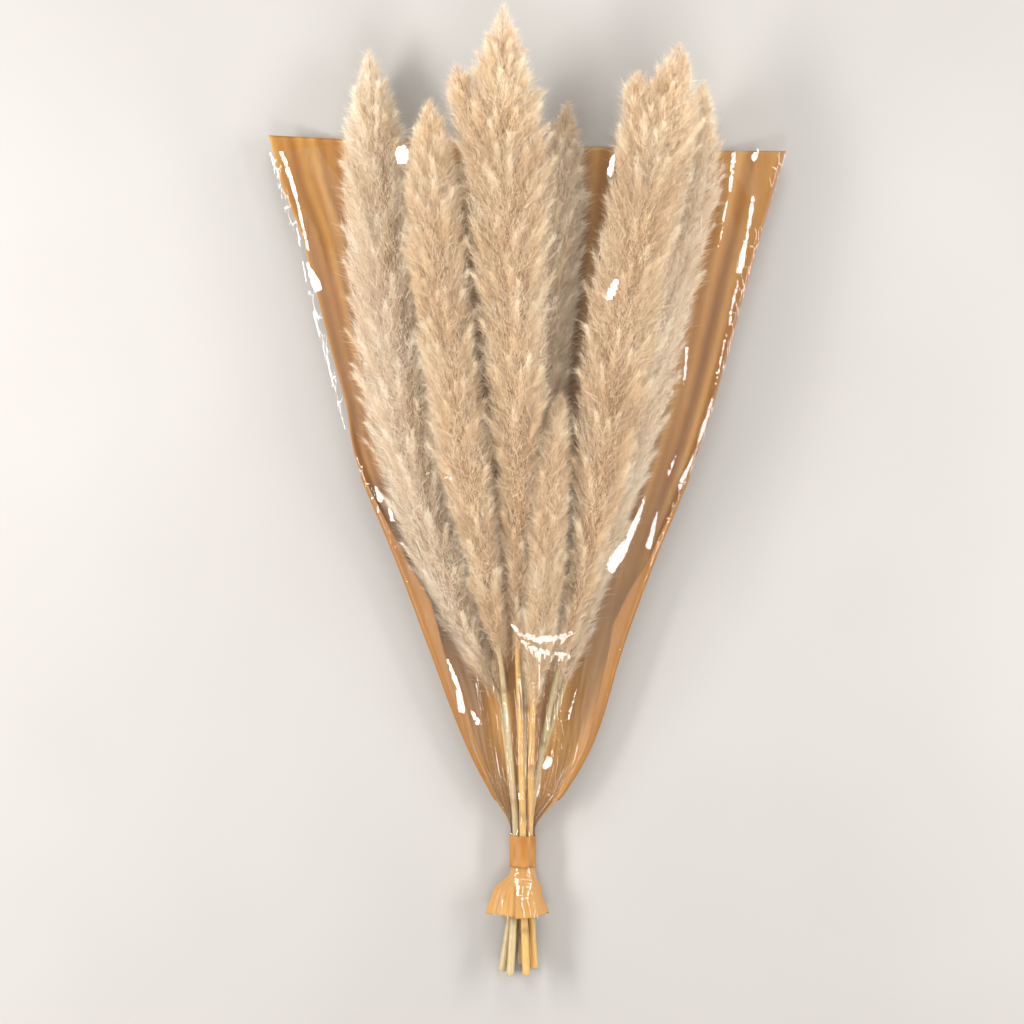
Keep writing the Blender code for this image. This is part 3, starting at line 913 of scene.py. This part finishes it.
def make_cane(name, number):
    """One cane from its cut end to the tip of its plume."""
    line, spine = centre_line("stem_" + name), centre_line("plume_" + name)
    foot_y, plume_y, tip_y = line[0, 1], line[-1, 1], spine[-1, 1]
    whole = np.concatenate([line, spine[1:]])
    y = np.arange(foot_y, tip_y - 0.02, RING_SPACING)
    middles = np.stack([np.interp(y, whole[:, 1], whole[:, 0]), y,
                        np.interp(y, whole[:, 1], whole[:, 2])], -1)
    radius = np.interp(y, [foot_y, plume_y, tip_y], CANE_RADII)
    first_node = foot_y + NODE_SPACING * (0.25 + 0.13 * number)
    from_node = np.abs((y - first_node + NODE_SPACING / 2) % NODE_SPACING - NODE_SPACING / 2)
    swell = np.exp(-(from_node / SWELL_HALF_LENGTH)**2)
    radius = radius * (1 + 0.13 * swell * (y < plume_y))
    angles = np.linspace(0, 2 * math.pi, CANE_SIDES, endpoint=False)
    ribs = 1 + 0.025 * np.cos(5 * angles + number) + 0.02 * np.where(np.arange(CANE_SIDES) % 2, 1, -1)
    points = tube(middles, radius[:, None] * ribs[None], CANE_SIDES)
    caps = [middles[0] + (points[0] - middles[0]) * k + np.array([0, dy, 0])
            for k, dy in reversed(CUT_END)]
    rings = np.concatenate([np.array(caps), points])
    piece = make_piece("cane_" + name, rings.reshape(-1, 3),
                       grid_faces(len(rings), CANE_SIDES, closed=True)[:, ::-1],
                       [GOLD_CANE if name in GOLD_ONES else PALE_CANE])
    marks = {"ring": np.concatenate([np.zeros(len(caps)), swell * (y < plume_y)]),
             "pith": np.concatenate([[1.0, 1.0, 0.8, 0.3], np.zeros(len(y))])}
    for label, values in marks.items():
        keep(piece.data, label, np.repeat(values, CANE_SIDES))
    return piece


canes = {name: make_cane(name, number) for number, name in enumerate(PLUME_NAMES)}
print("canes:", len(canes), "with", len(canes[PLUME_NAMES[0]].data.polygons), "faces on the first")

# %% [markdown]
# ## Plumes
# A pampas head is a few hundred soft locks that leave the cane at a low angle and arch outwards,
# each feathered with fine hairs.  Geometry Nodes suit that: points are scattered over the
# plume's outer shape, each is the tip of a lock, copies of it slide back along the lock's path,
# and every copy carries one hair.  Rays sent down and up keep the hairs under the film and
# above the paper, where real fluff is pressed flat.

# %% Outer shape of a plume
LOCKS_PER_PLUME = 170
HAIRS_PER_LOCK = 500
FUR_PER_PLUME = 82000
HAIR_LENGTH = 0.0120
HAIR_WIDTH = 0.00026
LOCK_LENGTH = 0.030
LOCK_PER_RADIUS = 1.9       # how much longer a lock is for each metre of the plume's radius
LOCK_THICKNESS = 0.0080
BARE_SHARE = 0.18           # of a lock's length, from its root, that carries no hairs
HAIR_SPREAD = 0.88
WIRY = 1.2                  # how much wider than the rest the few wiry hairs are
TIP_LOCKS = 3.0             # how much denser locks stand at the plume's tip
CLEAR_OF_SHEETS = 0.0008
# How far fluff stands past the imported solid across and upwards, a sideways bow in metres, and
# the share of the full number of hairs
PLUMP = {"left_outer": (1.05, 1.55, 0.0, 1.0), "left_inner": (1.03, 1.05, 0.0, 0.9),
         "centre_tall": (1.06, 1.05, 0.0, 1.0), "centre_right": (1.15, 1.60, 0.0, 0.85),
         "right_tall": (1.10, 1.05, 0.0, 1.0), "right_outer": (0.95, 1.55, -0.014, 1.0),
         "right_low": (1.45, 1.15, 0.0, 0.5)}
# Side branches that end in a tip of their own: the tip in metres, the length, and the share of
# the plume's thickness
SIDE_BRANCHES = {"centre_tall": [((-0.0735, 0.440, 0.082), 0.190, 0.46)],
                 "right_tall": [((0.112, 0.433, 0.080), 0.170, 0.40)]}


def side_branch(spine, offsets, along, tip, length, share_of_width):
    """The plume's own shape drawn smaller along a path that leaves the spine and ends at a tip."""
    tip, t = np.array(tip), along[:, None]
    base = np.array([np.interp(tip[1] - length, spine[:, 1], spine[:, k]) for k in range(3)])
    bend = base + (tip - base) * (0.45, 0.40, 0.5)
    path = base * (1 - t)**2 + 2 * bend * t * (1 - t) + tip * t**2
    heading = (bend - base) * (1 - t) + (tip - bend) * t
    return path + offsets * (share_of_width, 0.0, share_of_width), path, heading


def outer_shape(name):
    """The plume's solid filled out, with points that know their spine and its heading."""
    bm = bmesh.new()
    bm.from_mesh(NODES["plume_" + name].data)
    bmesh.ops.remove_doubles(bm, verts=bm.verts, dist=0.00005)
    points = np.array([vert.co for vert in bm.verts])
    faces = np.array([[vert.index for vert in face.verts] for face in bm.faces])
    bm.free()
    spine = centre_line("plume_" + name)
    slope = np.gradient(spine, spine[:, 1], axis=0)
    y = points[:, 1]
    along = (y - y.min()) / (y.max() - y.min())
    at_spine = np.stack([np.interp(y, spine[:, 1], spine[:, k]) for k in range(3)], -1)
    heading = np.stack([np.interp(y, spine[:, 1], slope[:, k]) for k in range(3)], -1)
    wide, deep, bow, _ = PLUMP[name]
    offsets = (points - at_spine) * np.array([wide, 1.0, deep])
    at_spine = at_spine + np.outer(bow * np.sin(math.pi * along), (1.0, 0.0, 0.0))
    parts = [(at_spine + offsets, at_spine, heading)]
    for tip, length, share_of_width in SIDE_BRANCHES.get(name, []):
        parts.append(side_branch(spine, offsets, along, tip, length, share_of_width))
    places, spines, headings = (np.concatenate(group) for group in zip(*parts))
    headings = headings / np.linalg.norm(headings, axis=1, keepdims=True)
    mesh = bpy.data.meshes.new("shape_" + name)
    mesh.from_pydata(places.tolist(), [],
                     np.concatenate([faces + len(points) * k for k in range(len(parts))]).tolist())
    for label, values in (("spine", spines), ("heading", headings), ("along", np.tile(along, len(parts)))):
        keep(mesh, label, values)
    mesh.update()
    shape = bpy.data.objects.new("fluff_" + name, mesh)
    bpy.context.scene.collection.objects.link(shape)
    return shape, sum(face.area for face in mesh.polygons)


# %% Growing tree
def named(tree, name, kind="FLOAT"):
    """The value of a named attribute."""
    return step(tree, "GeometryNodeInputNamedAttribute", {"Name": name}, data_type=kind).outputs[0]


def chance(tree, low, high, seed, offset):
    """A random number for each element."""
    made = step(tree, "FunctionNodeRandomValue", {2: low, 3: high, "Seed": plus(tree, seed, offset)},
                data_type="FLOAT")
    return made.outputs[1]


def store(tree, geometry, name, value, kind="FLOAT"):
    """Keep a value on the points under a name."""
    made = step(tree, "GeometryNodeStoreNamedAttribute",
                {"Geometry": geometry, "Name": name, "Value": value}, data_type=kind, domain="POINT")
    return made.outputs[0]


def own_place(tree):
    """Each point's own place."""
    return step(tree, "GeometryNodeInputPosition").outputs[0]


def moved(tree, geometry, place, **feeds):
    """The points put at their new places."""
    made = step(tree, "GeometryNodeSetPosition", {"Geometry": geometry, "Position": place, **feeds})
    return made.outputs[0]


def hair_blade(tree):
    """One hair: a single narrow triangle, a unit wide and a unit long."""
    sheet = step(tree, "GeometryNodeMeshGrid",
                 {"Size X": 1.0, "Size Y": 1.0, "Vertices X": 2, "Vertices Y": 2}).outputs[0]
    flat = parts_of(tree, own_place(tree))
    up = plus(tree, flat[1], 0.5)
    width = times(tree, flat[0], minus(tree, 1.0, up))
    blade = moved(tree, sheet, vector_of(tree, width, 0.0, up))
    pointed = step(tree, "GeometryNodeMergeByDistance", {0: blade, "Distance": 0.001})
    return store(tree, pointed.outputs[0], "fade", parts_of(tree, own_place(tree))[2])


def held_inside(tree, geometry, sheet_object, sign):
    """Press the points back where they pass through a sheet that lies above (1) or below (-1)."""
    sheet = step(tree, "GeometryNodeObjectInfo", {"Object": sheet_object}).outputs["Geometry"]
    x, y, z = parts_of(tree, own_place(tree))
    ray = step(tree, "GeometryNodeRaycast",
               {"Target Geometry": sheet, "Source Position": vector_of(tree, x, y, 1.0 * sign),
                "Ray Direction": (0.0, 0.0, -1.0 * sign), "Ray Length": 2.0})
    limit = minus(tree, parts_of(tree, ray.outputs["Hit Position"])[2], CLEAR_OF_SHEETS * sign)
    pressed = maths(tree, "MINIMUM" if sign > 0 else "MAXIMUM", z, limit)
    return moved(tree, geometry, vector_of(tree, x, y, pressed), Selection=ray.outputs["Is Hit"])


def above_table(tree, geometry):
    """Lift what would reach below the table."""
    x, y, z = parts_of(tree, own_place(tree))
    return moved(tree, geometry, vector_of(tree, x, y, maths(tree, "MAXIMUM", z, CLEAR_OF_SHEETS)))


def random_vector(tree, seed, offset):
    """A random vector for each element, each part from -1 to 1."""
    made = step(tree, "FunctionNodeRandomValue",
                {0: (-1, -1, -1), 1: (1, 1, 1), "Seed": plus(tree, seed, offset)},
                data_type="FLOAT_VECTOR")
    return made.outputs[0]


def with_hair_facts(tree, points, aim, long, outward):
    """Keep what a hair needs: its direction, its length and how far out it stands."""
    points = store(tree, points, "aim", aim, "FLOAT_VECTOR")
    points = store(tree, points, "long", long)
    return store(tree, points, "outward", outward)


def lock_points(tree, shape, density, hairs, lock_length, spread, seed):
    """Points along locks that arch from the spine out to the plume's outer shape."""
    to_tip = maths(tree, "POWER", named(tree, "along"), 8.0)
    crowded = plus(tree, times(tree, to_tip, TIP_LOCKS), 1.0)
    scatter = step(tree, "GeometryNodeDistributePointsOnFaces",
                   {"Mesh": shape, "Density": times(tree, density, crowded), "Seed": seed})
    outer = chance(tree, 0.88, 1.24, seed, 12)
    further = between(tree, outer, named(tree, "spine", "FLOAT_VECTOR"), own_place(tree),
                      clamp_factor=False)
    tips = store(tree, scatter.outputs["Points"], "tip", further, "FLOAT_VECTOR")
    tips = store(tree, tips, "tone", chance(tree, 0.0, 1.0, seed, 1))
    tips = store(tree, tips, "reach", chance(tree, 0.75, 1.25, seed, 2))
    tips = store(tree, tips, "bulk", chance(tree, 0.35 * LOCK_THICKNESS, 1.25 * LOCK_THICKNESS, seed, 14))
    copies = step(tree, "GeometryNodeDuplicateElements", {"Geometry": tips, "Amount": hairs},
                  domain="POINT")
    order = plus(tree, copies.outputs["Duplicate Index"], chance(tree, 0.0, 1.0, seed, 3))
    back = maths(tree, "POWER", maths(tree, "DIVIDE", order, hairs), 0.62)
    along_lock = plus(tree, times(tree, back, 1 - BARE_SHARE), BARE_SHARE)
    strands = store(tree, copies.outputs[0], "t", along_lock)

    tip, spine, heading = (named(tree, name, "FLOAT_VECTOR") for name in ("tip", "spine", "heading"))
    t = named(tree, "t")
    rest = minus(tree, 1.0, t)
    away = vectors(tree, "SUBTRACT", tip, spine)
    radius = step(tree, "ShaderNodeVectorMath", {0: away}, operation="LENGTH").outputs["Value"]
    length = plus(tree, lock_length, times(tree, radius, LOCK_PER_RADIUS))
    length = times(tree, length, named(tree, "reach"))
    root = sum_of(tree, spine, scaled(tree, away, 0.12))
    root = vectors(tree, "SUBTRACT", root, scaled(tree, heading, length))
    bend = sum_of(tree, root, scaled(tree, heading, times(tree, length, 0.62)), scaled(tree, away, 0.22))
    lean = sum_of(tree, scaled(tree, vectors(tree, "SUBTRACT", bend, root), rest),
                  scaled(tree, vectors(tree, "SUBTRACT", tip, bend), t))
    thickness = times(tree, maths(tree, "POWER", rest, 0.7), named(tree, "bulk"))
    thickness = plus(tree, thickness, 0.0010)
    on_path = sum_of(tree, scaled(tree, root, times(tree, rest, rest)),
                     scaled(tree, tip, times(tree, t, t)),
                     scaled(tree, bend, times(tree, t, rest, 2.0)),
                     scaled(tree, random_vector(tree, seed, 4), thickness))
    frizz = times(tree, spread, minus(tree, 1.0, times(tree, t, 0.15)))
    aim = sum_of(tree, vectors(tree, "NORMALIZE", lean),
                 scaled(tree, random_vector(tree, seed, 5), frizz),
                 scaled(tree, vectors(tree, "NORMALIZE", away), 0.20))
    shorter = minus(tree, 1.15, times(tree, t, 0.52))
    strands = with_hair_facts(tree, strands, aim, shorter, t)
    return moved(tree, strands, on_path)


def fur_points(tree, shape, density, spread, seed):
    """Points of the soft down between the locks, at all depths near the outer shape."""
    scatter = step(tree, "GeometryNodeDistributePointsOnFaces",
                   {"Mesh": shape, "Density": density, "Seed": plus(tree, seed, 6)})
    place, depth = own_place(tree), chance(tree, 0.42, 0.97, seed, 7)
    points = store(tree, scatter.outputs["Points"], "tone", noise(tree, place, 45.0, 2.0))
    spine, heading = named(tree, "spine", "FLOAT_VECTOR"), named(tree, "heading", "FLOAT_VECTOR")
    away = vectors(tree, "NORMALIZE", vectors(tree, "SUBTRACT", place, spine))
    aim = sum_of(tree, heading, scaled(tree, away, 0.55),
                 scaled(tree, random_vector(tree, seed, 8), spread))
    points = with_hair_facts(tree, points, aim, 1.0, depth)
    return moved(tree, points, between(tree, named(tree, "outward"), spine, place))


def soft_core(tree, shape):
    """The outer shape drawn in towards its spine, dark with painted shade, so nothing shows through the
    hairs.
    """
    rounder = step(tree, "GeometryNodeSubdivisionSurface", {"Mesh": shape, "Level": 1}).outputs[0]
    cubed = maths(tree, "POWER", named(tree, "along"), 3.0)
    narrow = times(tree, minus(tree, 1.0, cubed), 0.42)
    return moved(tree, rounder,
                 between(tree, narrow, named(tree, "spine", "FLOAT_VECTOR"), own_place(tree)))


def grow_tree():
    """The whole plume: locks, the down between them, and a soft core."""
    floats = [("Lock Density", 2000.0), ("Fur Density", 600000.0), ("Lock Length", LOCK_LENGTH),
              ("Hair Length", HAIR_LENGTH), ("Hair Width", HAIR_WIDTH), ("Hair Spread", HAIR_SPREAD)]
    tree, start, end = new_group(
        "grow plume", "GeometryNodeTree",
        [("Shape", "NodeSocketGeometry", None)]
        + [(label, "NodeSocketFloat", value) for label, value in floats]
        + [("Hairs per Lock", "NodeSocketInt", HAIRS_PER_LOCK), ("Seed", "NodeSocketInt", 0),
           ("Film", "NodeSocketObject", None), ("Paper", "NodeSocketObject", None),
           ("Fluff", "NodeSocketMaterial", None)],
        [("Plume", "NodeSocketGeometry")])
    shape, lock_density, fur_density, lock_length, hair_length, hair_width, spread = start.outputs[:7]
    hairs, seed, film, paper, fluff = start.outputs[7:12]
    points = step(tree, "GeometryNodeJoinGeometry",
                  {0: lock_points(tree, shape, lock_density, hairs, lock_length, spread, seed)})
    tree.links.new(fur_points(tree, shape, fur_density, spread, seed), points.inputs[0])

    few = maths(tree, "POWER", chance(tree, 0.0, 1.0, seed, 13), 7.0)
    strands = store(tree, points.outputs[0], "wiry", few)
    wiry = named(tree, "wiry")
    strands = store(tree, strands, "tone", plus(tree, named(tree, "tone"), times(tree, wiry, 0.9)))

    turned = step(tree, "FunctionNodeAlignRotationToVector", {"Vector": named(tree, "aim", "FLOAT_VECTOR")},
                  axis="Z").outputs[0]
    roll = step(tree, "FunctionNodeAxisAngleToRotation",
                {"Axis": (0, 0, 1), "Angle": chance(tree, 0.0, 2 * math.pi, seed, 9)}).outputs[0]
    turned = step(tree, "FunctionNodeRotateRotation", {0: turned, 1: roll},
                  rotation_space="LOCAL").outputs[0]
    uneven = maths(tree, "POWER", chance(tree, 0.0, 1.0, seed, 10), 5.0)
    uneven = plus(tree, times(tree, uneven, 1.5), 0.65)
    near_top = times(tree, minus(tree, 1.0, named(tree, "along")), 8.0)
    near_top = plus(tree, times(tree, maths(tree, "MINIMUM", near_top, 1.0), 0.45), 0.55)
    long = times(tree, named(tree, "long"), uneven, times(tree, hair_length, near_top))
    wide = plus(tree, chance(tree, 0.6, 1.15, seed, 11), times(tree, wiry, WIRY))
    size = vector_of(tree, times(tree, hair_width, wide), long, long)
    blades = step(tree, "GeometryNodeInstanceOnPoints",
                  {"Points": strands, "Instance": hair_blade(tree), "Rotation": turned, "Scale": size})
    blades = step(tree, "GeometryNodeRealizeInstances", {0: blades.outputs[0]}).outputs[0]
    both = step(tree, "GeometryNodeJoinGeometry", {0: blades})
    tree.links.new(soft_core(tree, shape), both.inputs[0])
    held = held_inside(tree, both.outputs[0], film, 1)
    held = held_inside(tree, held, paper, -1)
    held = above_table(tree, held)
    for name in ("tip", "spine", "heading", "reach", "along", "aim", "long", "t", "bulk", "wiry"):
        held = step(tree, "GeometryNodeRemoveAttribute", {"Geometry": held, "Name": name}).outputs[0]
    painted = step(tree, "GeometryNodeSetMaterial", {"Geometry": held, "Material": fluff}).outputs[0]
    final = step(tree, "GeometryNodeRealizeInstances", {0: painted}).outputs[0]
    tree.links.new(final, end.inputs[0])
    return tree


GROW = grow_tree()
print("steps in the growing tree:", len(GROW.nodes))


# %% Grow every plume
def set_inputs(modifier, values):
    """Give a node modifier its inputs by name."""
    for item in modifier.node_group.interface.items_tree:
        if item.name in values:
            modifier[item.identifier] = values[item.name]


def as_plain_mesh(piece):
    """Replace a piece's mesh by its evaluated one and take its modifiers off."""
    graph = bpy.context.evaluated_depsgraph_get()
    plain = bpy.data.meshes.new_from_object(piece.evaluated_get(graph))
    piece.modifiers.clear()
    piece.data = plain
    return piece


WARM_ONES = ("centre_tall", "left_inner", "right_low", "right_tall")


def grow_plume(name, number):
    """One plume's fluff as a plain mesh."""
    shape, area = outer_shape(name)
    fluff = WARM_FLUFF if name in WARM_ONES else PALE_FLUFF
    fullness = PLUMP[name][3]
    grow = shape.modifiers.new("grow", "NODES")
    grow.node_group = GROW
    set_inputs(grow, {"Lock Density": LOCKS_PER_PLUME * fullness / area,
                      "Fur Density": FUR_PER_PLUME * fullness / area, "Seed": 100 + 20 * number,
                      "Film": film_sheet, "Paper": kraft_sheet, "Fluff": fluff})
    return as_plain_mesh(shape)


plumes = {}
for number, name in enumerate(PLUME_NAMES):
    plumes[name] = grow_plume(name, number)
    print(name, "has", len(plumes[name].data.polygons), "faces")

# %% [markdown]
# ## Bare branchlets
# Below the fluff each cane keeps a few bare branchlets, and two loose straws lie on top.  Each
# is a tapering four-sided tube on a curve.

# %% Bare branchlets
TWIGS_EACH = {"right_low": 9, "right_tall": 9, "right_outer": 7, "left_outer": 5, "left_inner": 5}
TWIG_RADIUS = 0.0004
# Loose straws: start, end and a sideways bend, in mm
STRAWS = [((107, 356, 119), (84, 319, 120), 3), ((44, 262, 119), (31, 166, 120), -6)]


def curve_tube(start, end, bend, radius, rings=7):
    """A tube's points along a bent path."""
    t = np.linspace(0, 1, rings)[:, None]
    path = start + (end - start) * t + bend * 4 * t * (1 - t)
    return tube(path, np.linspace(radius, radius * 0.3, rings)[:, None], 4)


def make_twigs():
    """All the branchlets and straws as one mesh."""
    rng = np.random.default_rng(61)
    tubes = []
    for name, count in TWIGS_EACH.items():
        line = centre_line("stem_" + name)
        for _ in range(count):
            y = line[-1, 1] - rng.uniform(0.0, 0.045)
            start = np.array([np.interp(y, line[:, 1], line[:, 0]), y, np.interp(y, line[:, 1], line[:, 2])])
            reach = np.array([rng.uniform(-0.010, 0.010), rng.uniform(0.028, 0.055), rng.uniform(0.0, 0.008)])
            bend = np.array([reach[0] * 0.5, 0.0, rng.uniform(0.0, 0.003)])
            tubes.append(curve_tube(start, start + reach, bend, TWIG_RADIUS))
    for start, end, bend in STRAWS:
        tubes.append(curve_tube(np.array(start) * MM, np.array(end) * MM, np.array([bend * MM, 0, 0]),
                                TWIG_RADIUS * 1.2))
    one = grid_faces(7, 4, closed=True)[:, ::-1]
    faces = np.concatenate([one + 28 * k for k in range(len(tubes))])
    return make_piece("bare_twigs", np.concatenate(tubes).reshape(-1, 3), faces, [TWIG])


twigs = make_twigs()
print("branchlet faces:", len(twigs.data.polygons))

# %% [markdown]
# ## Pieces on the body
# Every piece rides on the one body and stands in for its imported solids, which are hidden.

# %% Riders and stand-ins
made = [(kraft_sheet, "kraft_back_sheet"), (film_sheet, "clear_front_film"), (paper_band, "kraft_band")]
made += [(plumes[name], "plume_" + name) for name in PLUME_NAMES]
made += [(canes[name], "stem_" + name) for name in PLUME_NAMES]
for piece, node in made:
    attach(piece, "root")
    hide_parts(node)
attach(twigs, "root")
print("pieces handed over:", len(made))
